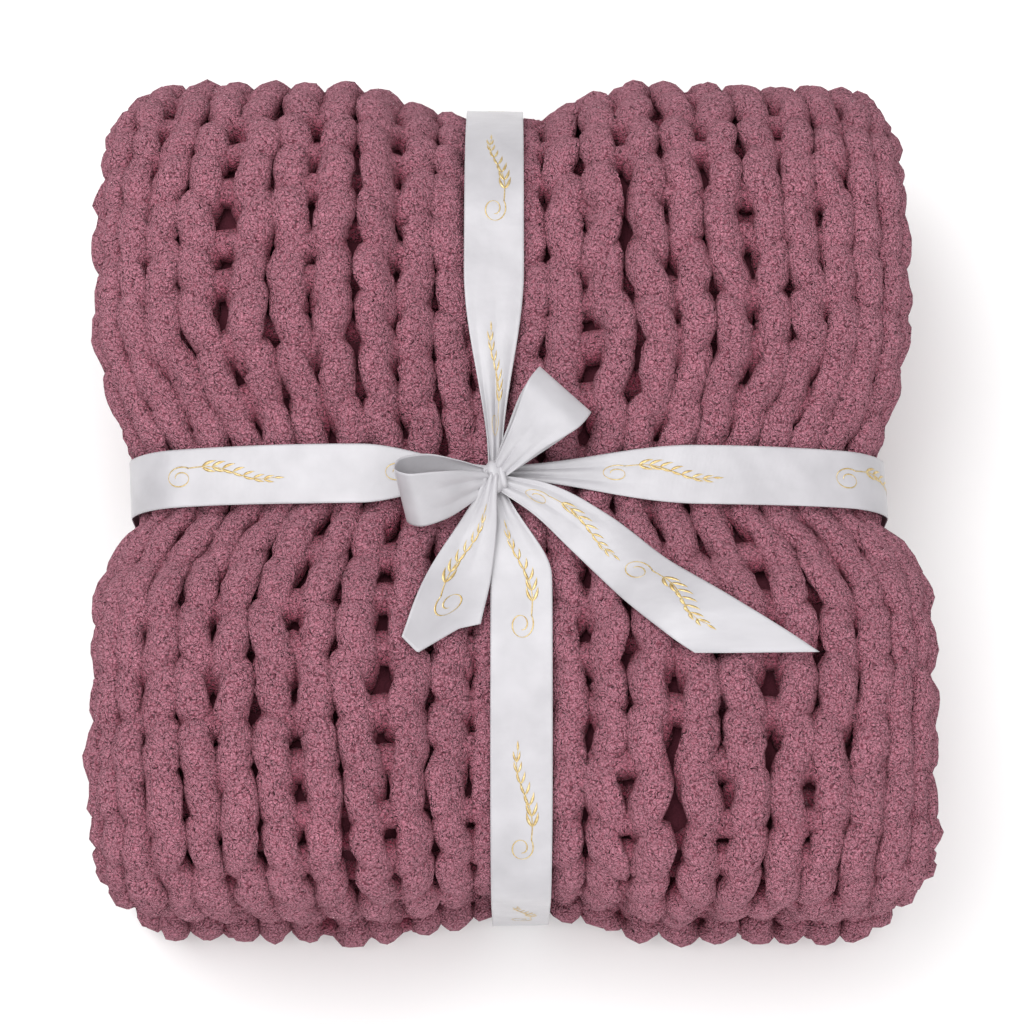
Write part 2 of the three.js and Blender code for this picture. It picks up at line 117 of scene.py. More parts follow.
def settle(x, y, z):
    """Where points of the even bundle, in millimetres, lie once the ribbon is tied."""
    lengthwise, crosswise = grip(x - lengthwise_x(y)), grip(y - CROSS_Y)
    gripped = 1 - (1 - lengthwise) * (1 - crosswise)
    across, along = x / HALF_WIDTH, y / HALF_DEPTH
    dome = (1 - np.minimum(1, across**4)) * (1 - np.minimum(1, along**4))
    height = EDGE_HEIGHT + (CROWN + quarter_value(x, y, "upward")) * dome - PRESS * gripped
    under = np.maximum(0, 1 - np.maximum(0, z) / LAYER)
    widen = quarter_value(x, y, "outward") - WAIST_SIDE * waist(y - CROSS_Y) - CORNER_IN * along**6
    deepen = -WAIST_END * lengthwise - CORNER_IN * across**6
    sway = SWAY * np.sin(y / SWAY_LENGTH + x / (2 * SWAY_LENGTH)) * (1 - across**2)
    return np.stack(
        [
            x + across * widen + sway * (1 - crosswise) * (1 - lengthwise),
            y + along * deepen,
            z * height + UNDER_LIFT * gripped * under,
        ],
        axis=-1,
    )


# The fold, from the free end inside the stack to the free end below. A run is straight at a level,
# counted from the bottom layer. A turn goes round y: its size is how deep it is towards +Y or -Y,
# and how high its first half lies over its middle. An end is a round nose.
ROUTE_STEPS = 60
FOLD = (
    dict(name="upper_end", kind="nose", level=1, y=UPPER_END_Y, entering=True),
    dict(name="third_layer", kind="run", level=1, start=UPPER_FLAT_Y, stop=INNER_TURN_Y),
    dict(name="inner_turn", kind="turn", level=1.5, y=INNER_TURN_Y, size=(SMALL_TURN, -SMALL_TURN)),
    dict(name="second_layer", kind="run", level=2, start=INNER_TURN_Y, stop=NEAR_TURN_Y),
    dict(name="near_turn", kind="turn", level=2.5, y=NEAR_TURN_Y, size=(-SMALL_TURN, -SMALL_TURN)),
    dict(name="top_layer", kind="run", level=3, start=NEAR_TURN_Y, stop=WIDE_TURN_Y),
    dict(name="wide_turn", kind="turn", level=1.5, y=WIDE_TURN_Y, size=WIDE_TURN),
    dict(name="lowest_layer", kind="run", level=0, start=WIDE_TURN_Y, stop=LOWER_FLAT_Y),
    dict(name="lower_end", kind="nose", level=0, y=LOWER_END_Y, entering=False),
)


def stretch_points(stretch):
    """Middle line and outward normals of one stretch of the fold, as rows of y, z, ny, nz."""
    share = np.linspace(0, 1, ROUTE_STEPS)
    z = HALF_LAYER + stretch["level"] * PITCH
    if stretch["kind"] == "run":
        heading = np.sign(stretch["stop"] - stretch["start"])
        y = stretch["start"] + (stretch["stop"] - stretch["start"]) * share
        return np.stack([y, 0 * y + z, 0 * y, 0 * y + heading], axis=1)
    if stretch["kind"] == "turn":
        deep, high = stretch["size"]
        angle = math.pi * (0.5 - share)
        y = stretch["y"] + deep * np.cos(angle)
        normal = np.stack([np.cos(angle) / deep, np.sin(angle) / high], axis=1)
        normal /= np.linalg.norm(normal, axis=1)[:, None]
        if deep > 0 > high:
            normal = -normal
        return np.column_stack([y, z + high * np.sin(angle), normal])
    y = np.full(ROUTE_STEPS, stretch["y"] + HALF_LAYER)
    angle = math.pi * ((1.5 if stretch["entering"] else -0.5) - share)
    return np.column_stack([y, 0 * y + z, np.cos(angle), np.sin(angle)])


route_parts = [stretch_points(stretch) for stretch in FOLD]
route = np.concatenate(route_parts)
SHORTEST_STEP = 1e-6


def length_along(face):
    """Length along the cloth up to each point of the route: on its outer face 1, its inner face -1
    or its middle 0."""
    line = route[:, :2] + face * HALF_LAYER * route[:, 2:]
    steps = np.linalg.norm(np.diff(line, axis=0), axis=1)
    return np.concatenate([[0], np.cumsum(steps + SHORTEST_STEP)])


ALONG_FACE = {face: length_along(face) for face in (1, 0, -1)}
part_ends = np.cumsum([0] + [len(part) for part in route_parts])


def stretch_span(name, face=1):
    """Where a stretch of the fold starts and stops on one face of the cloth."""
    index = [stretch["name"] for stretch in FOLD].index(name)
    return ALONG_FACE[face][part_ends[index]], ALONG_FACE[face][part_ends[index + 1] - 1]


def lay_on_fold(across, along, lift, face=1):
    """Final place of points on the folded cloth: across the ropes and round the layer's side, along
    the fold, and lift over the layer's face, all in millimetres."""
    y, z, ny, nz = (np.interp(along, ALONG_FACE[face], route[:, i]) for i in range(4))
    beyond = np.abs(across) - FLAT
    angle = math.pi * (0.5 - np.clip(beyond / SIDE_ARC, 0, 1))
    past = np.maximum(0, beyond - SIDE_ARC)
    round_x = FLAT + (SIDE_ROUND + lift) * np.cos(angle) - past
    x = np.sign(across) * np.where(beyond < 0, np.abs(across), round_x)
    height = face * (HALF_LAYER + lift) * np.sin(angle)
    return settle(x, y + height * ny, z + height * nz) * MM


def grid_faces(rows, columns, close_rows=False, close_columns=False):
    """Quads of a grid of points, optionally joined end to end."""
    index = np.arange(rows * columns).reshape(rows, columns)
    if close_rows:
        index = np.concatenate([index, index[:1]])
    if close_columns:
        index = np.concatenate([index, index[:, :1]], axis=1)
    quads = np.stack([index[:-1, :-1], index[:-1, 1:], index[1:, 1:], index[1:, :-1]], axis=-1)
    return quads.reshape(-1, 4)


def facing_out(points, quads):
    """The quads of a closed mesh, all turned so that they face outward."""
    a, b, c, d = (np.asarray(points)[quads[:, i]] for i in range(4))
    volume = (a * np.cross(b, c)).sum() + (a * np.cross(c, d)).sum()
    return quads if volume > 0 else quads[:, ::-1]


def add_mesh(name, points, quads, material):
    """A smooth mesh object that rides on the bundle."""
    quads = facing_out(points, quads)
    mesh = bpy.data.meshes.new(name)
    mesh.vertices.add(len(points))
    mesh.vertices.foreach_set("co", np.asarray(points, dtype=np.float32).ravel())
    mesh.loops.add(4 * len(quads))
    mesh.loops.foreach_set("vertex_index", np.asarray(quads, dtype=np.int32).ravel())
    mesh.polygons.add(len(quads))
    mesh.polygons.foreach_set("loop_start", np.arange(0, 4 * len(quads), 4, dtype=np.int32))
    mesh.update(calc_edges=True)
    mesh.shade_smooth()
    mesh.materials.append(material)
    piece = bpy.data.objects.new(name, mesh)
    bpy.context.scene.collection.objects.link(piece)
    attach(piece, "root")
    return piece


def colour(hex_code):
    """Linear RGBA from an sRGB hex code."""
    values = [int(hex_code[i : i + 2], 16) / 255 for i in (0, 2, 4)]
    linear = [v / 12.92 if v <= 0.04045 else ((v + 0.055) / 1.055) ** 2.4 for v in values]
    return (*linear, 1)


def add_node(tree, kind, links=None, **settings):
    """Adds a node. settings are its own fields or, by name, its inputs; links join inputs."""
    node = tree.nodes.new(kind)
    for key, value in settings.items():
        if hasattr(node, key):
            setattr(node, key, value)
        else:
            node.inputs[key.replace("_", " ")].default_value = value
    for key, socket in (links or {}).items():
        tree.links.new(socket, node.inputs[key])
    return node


def new_material(name):
    """A node material with all its nodes cleared; finish_material adds its output."""
    material = bpy.data.materials.new(name)
    material.use_nodes = True
    material.node_tree.nodes.clear()
    return material, material.node_tree


def finish_material(tree, shader):
    add_node(tree, "ShaderNodeOutputMaterial", {"Surface": shader.outputs[0]})


# Chenille: cut polyester pile twisted into a fat soft yarn. The pile stands out all round, so the
# colour is matt and deep.
# Its sheen lights the rims. Its colour is painted lighter at the tips of the tufts as a highlight,
# and darker as shade in the cracks round them and in the hollows between the ropes.
# The pile's colour painted dark, as shade, for the cloth that lies under the outer stitches.
CHENILLE_PAINTED_SHADE = "4C1826"


def knitted_inside():
    """The pile of the cloth below the outer stitches, painted dark for the shade they cast on it.
    """
    material, tree = new_material("Chenille pile in shade")
    place = add_node(tree, "ShaderNodeTexCoord")
    grain = add_node(
        tree, "ShaderNodeTexNoise", {"Vector": place.outputs["Object"]}, Scale=420, Detail=2
    )
    nap = add_node(
        tree, "ShaderNodeBump", {"Height": grain.outputs["Fac"]}, Strength=0.6, Distance=2 * MM
    )
    shader = add_node(
        tree,
        "ShaderNodeBsdfPrincipled",
        {"Normal": nap.outputs["Normal"]},
        Base_Color=colour(CHENILLE_PAINTED_SHADE),
        Roughness=1.0,
    )
    finish_material(tree, shader)
    return material


# How deep it lies below the layer's face, and how far it goes on past the layer's side.
INNER_DEPTH, INNER_PAST = 19.0, 30.0
INNER_ACROSS, INNER_ALONG = 72, 460
reach = FLAT + SIDE_ARC + INNER_PAST
evenly = np.linspace(0, ALONG_FACE[0][-1], INNER_ALONG)
across, along = np.meshgrid(
    np.linspace(-reach, reach, INNER_ACROSS),
    np.interp(evenly, ALONG_FACE[0], ALONG_FACE[1]),
)
inner_cloth = add_mesh(
    "blanket_inner_cloth",
    lay_on_fold(across, along, np.full_like(across, -INNER_DEPTH)).reshape(-1, 3),
    grid_faces(INNER_ALONG, INNER_ACROSS),
    knitted_inside(),
)
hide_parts("blanket")

# ----------------------------------------------------------------------------
# The throw's knitted face, wherever a stretch of the fold shows. Chenille yarn knitted by hand in
# plain stitch: each course is one yarn, drawn as a loop through each loop of the course before it,
# so that the legs of the loops stand up as ropes. Each course here is one such yarn.
# ----------------------------------------------------------------------------

# A wale is one column of loops. Each loop swings to and fro across its wale, rises over the loop
# before and dives under it.
WALES = 14
LAST_ACROSS = FLAT + SIDE_ARC
WALE = 2 * LAST_ACROSS / WALES
COURSE = 26.5
YARN_RADIUS = 8.85
LOOP_SWING = 0.95
LOOP_HALF_HEIGHT = (COURSE + 2 * YARN_RADIUS) / 2
LOOP_DEPTH, LOOP_TILT = 4.9, 4.0
CREST_LIFT = 1.0
# The yarn's radius at the loop's head and foot, how much fuller it is along its legs, and how much
# fuller at its head than at its foot, which dives under.
THIN_SHARE, LEG_SHARE, HEAD_SHARE = 0.95, 0.06, 0.05
# No two loops are alike: how far each leg lies aside, leans, slips along, rises and swells.
LEG_ASIDE, LEG_LEAN, LEG_ALONG, LEG_UP, LEG_SWELL = 1.3, 0.9, 1.8, 0.8, 0.35
# Slow drift along the yarn, in millimetres and as a share of the loop's height, the uneven
# thickness of the yarn, and the lumps of its pile.
DRIFT, DRIFT_HEIGHT, DRIFT_SPREAD = 1.3, 0.03, 0.7
UNEVEN_SHARE, UNEVEN_SPREAD = 0.025, 4
LUMP, LUMP_SPREAD = 0.6, 0.55
# The ribbons press the yarn below them, up to RIBBON_SINK and easing off beside them. The floor
# squashes what lies within SQUASH of it.
RIBBON_SINK, SINK_FLAT, SINK_RUN = 3.0, 16.0, 10.0
SQUASH = 3 * MM
# Where the painted shade of the hollow between ropes begins and is full, below the face, and how
# that painted shade is tinted.
HOLLOW_FROM, HOLLOW_RUN = 1.5, 9.5
HOLLOW_SHADE_TINT = (0.62, 0.27, 0.36)
rng = np.random.default_rng(7)


def blurred(row, kernel):
    """A closed row of values, blurred by a kernel."""
    return np.convolve(np.pad(row, len(kernel) // 2, mode="wrap"), kernel, mode="valid")


def soft_noise(shape, spread):
    """Random numbers near -1 to 1 that change slowly along each axis over the given spread."""
    values = rng.normal(size=shape)
    for axis, width in enumerate(spread):
        if width > 0:
            size = int(3 * width) * 2 + 1
            kernel = np.exp(-0.5 * ((np.arange(size) - size // 2) / width) ** 2)
            kernel /= np.sqrt((kernel**2).sum())
            values = np.apply_along_axis(blurred, axis, values, kernel)
    return values


# Where ropes part or spread, and those beyond lie further out: the side of the lengthwise ribbon,
# where it starts and over what run across, the middle and reach along, and how much wider they lie.
SPREADS = (
    dict(side=-1, start=18, run=120, along=-125, reach=100, wide=13),
    dict(side=-1, start=50, run=9, along=-105, reach=80, wide=3.5),
    dict(side=-1, start=20, run=120, along=125, reach=100, wide=9),
    dict(side=-1, start=124, run=9, along=100, reach=62, wide=6.5),
    dict(side=1, start=20, run=120, along=125, reach=100, wide=13),
    dict(side=1, start=31, run=10, along=40, reach=42, wide=7),
    dict(side=1, start=20, run=120, along=-125, reach=100, wide=17),
    dict(side=1, start=105, run=9, along=-70, reach=60, wide=4),
)


def spread_ropes(across, along_y):
    """Where a rope lies, from its even place across the cloth."""
    placed = across
    for spread in SPREADS:
        outward = spread["side"] * across
        stop = spread["start"] + spread["run"]
        beyond = smooth((outward - spread["start"]) / spread["run"])
        closing = 1 - smooth((outward - stop) / (LAST_ACROSS - stop))
        beside = np.exp(-(((along_y - spread["along"]) / spread["reach"]) ** 4))
        placed = placed + spread["side"] * spread["wide"] * beyond * closing * beside
    return placed


# Scales per metre: tufts of pile 1.1 mm apart, clumps of them 3.4 mm and broad shades 33 mm.
TUFTS, CLUMPS, BROAD, TUFT_BEND = 880, 290, 30, 3 * MM
# Colour of the pile, painted lighter at the tip of a tuft as a highlight and darker out to the
# painted crack of shade round it.
PILE_PAINTED_SHADE_RAMP = ((0.15, "BD7F8F"), (0.45, "AE7080"), (0.63, "975B69"), (0.82, "693542"))


def colour_ramp(tree, factor, stops):
    """The colour output of a ramp through sRGB hex codes, each at its place from 0 to 1."""
    node = add_node(tree, "ShaderNodeValToRGB", {"Fac": factor})
    elements = node.color_ramp.elements
    for element, (position, hex_code) in zip(elements, (stops[0], stops[-1])):
        element.position, element.color = position, colour(hex_code)
    for position, hex_code in stops[1:-1]:
        elements.new(position).color = colour(hex_code)
    return node.outputs["Color"]


def chenille_yarn():
    """Cut pile in tufts, each a soft knob with a crack of painted shade round it, that lie in
    clumps.
    """
    material, tree = new_material("Chenille pile, cut and brushed")
    place = add_node(tree, "ShaderNodeTexCoord").outputs["Object"]
    clump = add_node(tree, "ShaderNodeTexNoise", {"Vector": place}, Scale=CLUMPS, Detail=2)
    broad = add_node(tree, "ShaderNodeTexNoise", {"Vector": place}, Scale=BROAD, Detail=2)
    bent = add_node(
        tree,
        "ShaderNodeVectorMath",
        {0: clump.outputs["Color"], 2: place},
        operation="MULTIPLY_ADD",
    )
    bent.inputs[1].default_value = (TUFT_BEND, TUFT_BEND, TUFT_BEND)
    tuft = add_node(tree, "ShaderNodeTexVoronoi", {"Vector": bent.outputs[0]}, Scale=TUFTS)
    shade = add_node(
        tree, "ShaderNodeMapRange", {"Value": broad.outputs["Fac"]}, To_Min=0.86, To_Max=1.12
    )
    tinted = add_node(
        tree,
        "ShaderNodeMix",
        {6: colour_ramp(tree, tuft.outputs["Distance"], PILE_PAINTED_SHADE_RAMP), 7: shade.outputs["Result"]},
        data_type="RGBA",
        blend_type="MULTIPLY",
    )
    tinted.inputs[0].default_value = 1.0
    # Painted shade: the colour is darkened and tinted in the hollows between the ropes, where the
    # pile keeps the light out.
    hollow = add_node(tree, "ShaderNodeAttribute", attribute_name="hollow")
    hollow_painted_shade = add_node(
        tree,
        "ShaderNodeMix",
        {0: hollow.outputs["Fac"], 6: tinted.outputs[2]},
        data_type="RGBA",
        blend_type="MULTIPLY",
    )
    hollow_painted_shade.inputs[7].default_value = (*HOLLOW_SHADE_TINT, 1)
    nap = add_node(
        tree, "ShaderNodeBump", {"Height": clump.outputs["Fac"]}, Strength=0.8, Distance=4 * MM
    )
    pile = add_node(
        tree,
        "ShaderNodeBump",
        {"Height": tuft.outputs["Distance"], "Normal": nap.outputs["Normal"]},
        invert=True,
        Strength=1.0,
        Distance=2.2 * MM,
    )
    shader = add_node(
        tree,
        "ShaderNodeBsdfPrincipled",
        {"Base Color": hollow_painted_shade.outputs[2], "Normal": pile.outputs["Normal"]},
        Roughness=0.95,
        Sheen_Weight=0.25,
        Sheen_Roughness=0.5,
        Sheen_Tint=colour("E0B4C0"),
        Specular_IOR_Level=0.1,
    )
    finish_material(tree, shader)
    return material


CHENILLE = chenille_yarn()


def yarn_mesh(name, start, stop, first_wale, last_wale, steps, sides, face=1, bulge=0):
    """Courses of yarn as round tubes, from start to stop along the fold, over the wales named. They
    lie on the outer or the inner face of the cloth, and may bulge out halfway across it."""
    courses = np.arange(math.ceil(start / COURSE), math.ceil(stop / COURSE))
    wales = last_wale - first_wale
    rows, count = len(courses), int(wales * steps)
    # Turn along the yarn: a full turn for each wale, with the loop's head at its start and its foot
    # halfway. Its two legs lie between them.
    t = np.linspace(-math.pi, -math.pi + 2 * math.pi * wales, count + 1)[None, :]
    leg = np.sin(t) ** 2
    leg_number = np.floor(t / math.pi).astype(int) - int(np.floor(t.min() / math.pi))
    legs = leg_number.max() + 1

    def per_leg(size):
        jitter = rng.normal(size=(rows, legs)) * size
        return jitter[np.arange(rows)[:, None], leg_number]

    left_edge = (first_wale - WALES / 2) * WALE
    swing = LOOP_SWING * np.sin(2 * t)
    across = left_edge + WALE / 2 + WALE / (2 * math.pi) * (t + swing)
    across = across + per_leg(LEG_ASIDE) * leg + per_leg(LEG_LEAN) * np.sin(2 * t)
    drift = soft_noise((rows, count + 1), (0, steps * DRIFT_SPREAD)) * DRIFT
    along = courses[:, None] * COURSE - LOOP_HALF_HEIGHT * np.cos(t) * (1 + DRIFT_HEIGHT * drift)
    along = along + drift + per_leg(LEG_ALONG) * leg
    lift = CREST_LIFT - LOOP_DEPTH - YARN_RADIUS
    lift = lift - LOOP_DEPTH * np.cos(2 * t) - LOOP_TILT * np.cos(t)
    lift = lift + per_leg(LEG_UP) * leg + bulge * (1 - smooth(np.abs(across) / FLAT))
    uneven = UNEVEN_SHARE * soft_noise((rows, count + 1), (0, UNEVEN_SPREAD))
    radius = YARN_RADIUS * (THIN_SHARE + LEG_SHARE * leg + uneven)
    radius = radius * (1 - HEAD_SHARE * np.cos(t)) + per_leg(LEG_SWELL) * leg

    across = spread_ropes(across, np.interp(along, ALONG_FACE[face], route[:, 0]))
    line = np.stack([across, along, lift], axis=-1)
    tangent = np.gradient(line, axis=1)
    tangent /= np.linalg.norm(tangent, axis=-1, keepdims=True)
    side = np.cross(tangent, [0, 0, 1.0])
    side /= np.linalg.norm(side, axis=-1, keepdims=True)
    up = np.cross(side, tangent)
    angle = np.linspace(0, 2 * math.pi, sides, endpoint=False)
    lumps = soft_noise((rows, count + 1, sides), (0, LUMP_SPREAD, LUMP_SPREAD)) * LUMP
    reach_out = radius[..., None] + lumps
    ring = (
        line[:, :, None, :]
        + (reach_out * np.cos(angle))[..., None] * side[:, :, None, :]
        + (reach_out * np.sin(angle))[..., None] * up[:, :, None, :]
    )
    fold_y = np.interp(ring[..., 1], ALONG_FACE[face], route[:, 0])
    under = np.minimum(np.abs(ring[..., 0] - lengthwise_x(fold_y)), np.abs(fold_y - CROSS_Y))
    pressed = RIBBON_SINK * (1 - smooth((under - SINK_FLAT) / SINK_RUN))
    points = lay_on_fold(ring[..., 0], ring[..., 1], ring[..., 2] - pressed, face)
    squashed = SQUASH * np.exp(points[..., 2] / SQUASH - 1)
    points[..., 2] = np.where(points[..., 2] < SQUASH, squashed, points[..., 2])
    per_course = grid_faces(count + 1, sides, close_columns=True)
    offset = (count + 1) * sides
    quads = np.concatenate([per_course + row * offset for row in range(rows)])
    piece = add_mesh(name, points.reshape(-1, 3), quads, CHENILLE)
    # Painted shade of the hollows: 0 near the crest of the yarn, rising to 1 deep between the
    # ropes.
    depth = smooth((-ring[..., 2] - HOLLOW_FROM) / HOLLOW_RUN)
    hollow = piece.data.attributes.new("hollow", "FLOAT", "POINT")
    hollow.data.foreach_set("value", depth.astype(np.float32).ravel())
    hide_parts("blanket")
    return piece


FIRST_WALE, MIDDLE_WALE, LAST_WALE = -0.5, WALES // 2, WALES + 0.5
OUTER_WALES = (FIRST_WALE, LAST_WALE)
SIDE_WALES = dict(left=(FIRST_WALE, 3), right=(WALES - 3, LAST_WALE))
# Name, stretch of the fold, wales, and how many points each tube has along a wale and round it:
# finer where the face is seen close, plainer in the folds and below.
STITCHES = (
    ("left_top", "top_layer", (FIRST_WALE, MIDDLE_WALE), 44, 18),
    ("right_top", "top_layer", (MIDDLE_WALE, LAST_WALE), 44, 18),
    ("near_fold", "near_turn", OUTER_WALES, 28, 12),
    ("wide_fold", "wide_turn", OUTER_WALES, 26, 12),
    ("underside", "lowest_layer", OUTER_WALES, 20, 10),
    ("lower_end", "lower_end", OUTER_WALES, 24, 12),
    ("upper_end", "upper_end", OUTER_WALES, 24, 12),
)
for place_name, stretch_name, wales, steps, sides in STITCHES:
    yarn_mesh(
        f"blanket_{place_name}_stitches", *stretch_span(stretch_name), *wales, steps, sides
    )
# The two layers inside show their stitches at the sides only.
INNER_STEPS, INNER_SIDES, INNER_BULGE = 22, 10, 12
hidden = (stretch_span("third_layer")[0], stretch_span("second_layer")[1])
for side_name, wales in SIDE_WALES.items():
    yarn_mesh(f"blanket_{side_name}_side_stitches", *hidden, *wales, INNER_STEPS, INNER_SIDES)
# Round the inner turn it is the cloth's inner face that shows at the sides. Between them it bulges
# into the hollow of the wide turn.
turn_start, turn_stop = stretch_span("inner_turn", -1)
yarn_mesh(
    "blanket_inner_fold_stitches",
    turn_start - COURSE,
    turn_stop + COURSE,
    *OUTER_WALES,
    INNER_STEPS,
    INNER_SIDES,
    face=-1,
    bulge=INNER_BULGE,
)

# ----------------------------------------------------------------------------
# The two bands round the bundle. White polyester satin ribbon, 30 mm wide, with its long floats on
# the face. It is drawn round the bundle both ways, sinks into the soft throw, and gathers into
# pleats where it goes into the knot.
# ----------------------------------------------------------------------------

# Half width, thickness and how far it clears the even bundle, then the mesh's steps along it and
# points across it.
RIBBON_HALF, RIBBON_CLOTH, RIBBON_CLEAR = 15.0, 0.5, 1.3
RIBBON_STEP, RIBBON_COLUMNS, CORNER_STEPS = 2.6, 29, 24
# The lengthwise band rises over the crosswise one.
OVER_RISE, OVER_HALF, OVER_RUN = 1.9, 17.0, 16.0
# Half width where it is gathered most, the pleats there, and the soft wave of its edges.
GATHER_HALF = 3.5
PLEATS, PLEAT_HIGH, PLEAT_MIDDLE = 2.6, 1.5, 0.3
EDGE_WAVE, WAVE_STEPS, WAVE_SKEW = 0.5, 7.0, 1.5
UPRIGHT = 0.99
SATIN_CREASE_SHADE_RAMP = ((0.3, "A8A6AA"), (0.7, "B5B3B7"))


def satin_ribbon():
    """Satin with a faint weft and soft creases, its colour painted a little darker as shade where
    the creases sink. Its UV map is in millimetres of ribbon.
    """
    material, tree = new_material("Polyester satin, woven")
    place = add_node(tree, "ShaderNodeUVMap", uv_map="ribbon").outputs["UV"]
    # Real picks lie 0.2 mm apart. They are drawn at 0.6 mm, so that the weave shows at all.
    weft = add_node(
        tree,
        "ShaderNodeTexWave",
        {"Vector": place},
        Scale=0.5,
        Distortion=1.2,
        bands_direction="Y",
    )
    crease = add_node(tree, "ShaderNodeTexNoise", {"Vector": place}, Scale=0.05, Detail=3)
    weave = add_node(
        tree, "ShaderNodeBump", {"Height": weft.outputs["Fac"]}, Strength=0.12, Distance=0.3 * MM
    )
    creased = add_node(
        tree,
        "ShaderNodeBump",
        {"Height": crease.outputs["Fac"], "Normal": weave.outputs["Normal"]},
        Strength=0.35,
        Distance=2 * MM,
    )
    # Painted shade: the satin's colour is darker where the creases sink.
    crease_shaded_tone = colour_ramp(tree, crease.outputs["Fac"], SATIN_CREASE_SHADE_RAMP)
    shader = add_node(
        tree,
        "ShaderNodeBsdfPrincipled",
        {"Base Color": crease_shaded_tone, "Normal": creased.outputs["Normal"]},
        Roughness=0.34,
        Specular_IOR_Level=0.5,
        Sheen_Weight=0.15,
        Sheen_Roughness=0.4,
    )
    finish_material(tree, shader)
    return material


SATIN = satin_ribbon()


def corner_path(flat, up, deep, high, start):
    """A quarter turn of a band round a corner of the bundle, as rows of flat, up and outward."""
    angle = np.radians(start - np.linspace(0, 90, CORNER_STEPS))
    out = np.stack([np.cos(angle) / deep, np.sin(angle) / high], axis=1)
    out /= np.linalg.norm(out, axis=1, keepdims=True)
    return np.column_stack([flat + deep * np.cos(angle), up + high * np.sin(angle), out])


def band_path(corners):
    """The closed path of a band round the bundle, clockwise from where it leaves the underside."""
    parts = []
    turns = [corner_path(**corner) for corner in corners]
    for turn, after in zip(turns, turns[1:] + turns[:1]):
        run = np.linalg.norm(after[0, :2] - turn[-1, :2])
        share = np.linspace(0, 1, int(run / RIBBON_STEP) + 2)[1:-1, None]
        parts += [turn, turn[-1] + (after[0] - turn[-1]) * share]
    return np.concatenate(parts)


def run_length(rows):
    """Length of cloth up to each row of points."""
    middle = rows[:, rows.shape[1] // 2]
    return np.concatenate([[0], np.cumsum(np.linalg.norm(np.diff(middle, axis=0), axis=1))])


def ribbon_mesh(name, rows, node, closed=False):
    """A ribbon as a thin closed slab round rows of its middle surface, in millimetres."""
    along = np.gradient(rows, axis=0)
    if closed:
        along[0] = along[-1] = rows[1] - rows[-2]
    normal = np.cross(np.gradient(rows, axis=1), along)
    normal /= np.linalg.norm(normal, axis=-1, keepdims=True)
    front, behind = rows + normal * RIBBON_CLOTH / 2, rows - normal * RIBBON_CLOTH / 2
    ring = np.concatenate([front, behind[:, ::-1]], axis=1)
    count, columns = ring.shape[:2]
    if closed:
        ring, count = ring[:-1], count - 1
    quads = grid_faces(count, columns, close_rows=closed, close_columns=True)
    if not closed:
        across = np.arange(rows.shape[1] - 1)
        cap = np.stack([across, columns - 1 - across, columns - 2 - across, across + 1], axis=1)
        quads = np.concatenate([quads, cap, (cap + (count - 1) * columns)[:, ::-1]])
    piece = add_mesh(name, ring.reshape(-1, 3) * MM, quads, SATIN)
    length = run_length(rows)
    half = rows.shape[1]
    v = np.concatenate([np.linspace(-1, 1, half), np.linspace(1, -1, half)]) * RIBBON_HALF
    place = np.stack(np.broadcast_arrays(v[None, :], length[:count, None]), axis=-1).reshape(-1, 2)
    layer = piece.data.uv_layers.new(name="ribbon")
    order = np.empty(len(piece.data.loops), dtype=np.int32)
    piece.data.loops.foreach_get("vertex_index", order)
    layer.data.foreach_set("uv", place[order].astype(np.float32).ravel())
    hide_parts(node)
    return piece, length[-1]


def pleated(v, gathered, phase):
    """Height of the pleats across a ribbon, where it is gathered by a share from 0 to 1."""
    ridge = np.abs(np.sin(math.pi * (PLEATS * (v + 1) / 2 + phase)))
    return PLEAT_HIGH * gathered * (ridge - PLEAT_MIDDLE)


def band_rows(corners, crossing, runs, phase, place, rise):
    """Rows of points of a band. place turns flat, aside and up into final millimetres."""
    path = band_path(corners)
    path = np.concatenate([path, path[:1]])
    flat, up, out_flat, out_up = (column[:, None] for column in path.T)
    distance = flat - crossing
    on_top = (out_up > UPRIGHT) & (up > TOP / 2)
    run = np.where(distance < 0, runs[0], runs[1])
    gathered = np.where(on_top, 1 - smooth(np.abs(distance) / run), 0)
    v = np.linspace(-1, 1, RIBBON_COLUMNS)[None, :]
    half = RIBBON_HALF + (GATHER_HALF - RIBBON_HALF) * gathered
    steps = np.arange(len(path))[:, None]
    wave = EDGE_WAVE * (v**2) * np.sin(steps / WAVE_STEPS + WAVE_SKEW * np.sign(v) + phase)
    over = rise * (1 - smooth((np.abs(distance) - OVER_HALF) / OVER_RUN)) * on_top
    lift = RIBBON_CLEAR + over + pleated(v, gathered, phase) + wave * (1 - gathered)
    return place(flat + out_flat * lift, half * v, up + out_up * lift)


